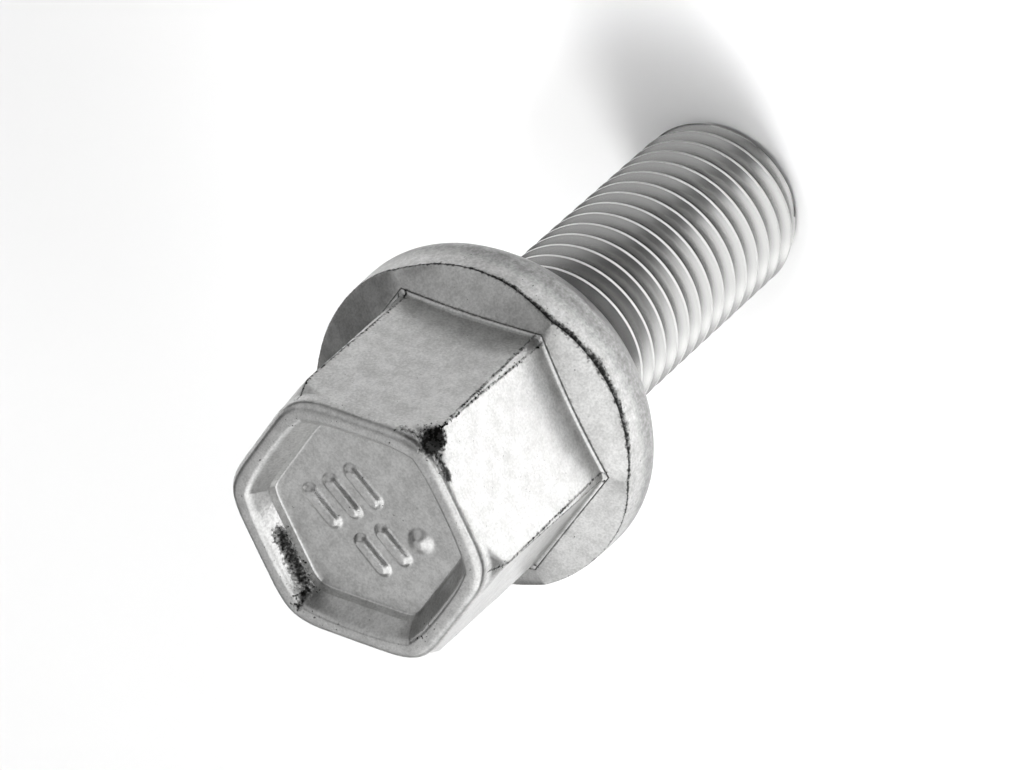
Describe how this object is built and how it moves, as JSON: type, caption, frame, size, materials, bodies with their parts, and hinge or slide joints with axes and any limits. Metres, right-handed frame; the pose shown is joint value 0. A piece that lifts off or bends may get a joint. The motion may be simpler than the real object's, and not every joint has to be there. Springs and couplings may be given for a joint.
{
  "type": "wheel bolt",
  "caption": "Wheel bolt with a dished hexagon head, a round collar with a ball seat under it, a plain neck and a threaded shank with a chamfered end.",
  "frame": {"origin": "centre of the flat thread end, on which the bolt stands", "axes": "+Z along the bolt's axis from the thread end to the head, +X through a corner of the hexagon"},
  "size_m": [0.0226, 0.0226, 0.0459],
  "materials": {
    "zinc_steel": "bright zinc plating on forged steel, satin, finely pitted"
  },
  "bodies": {
    "root": {"wheel_bolt": "zinc_steel"}
  },
  "joints": []
}
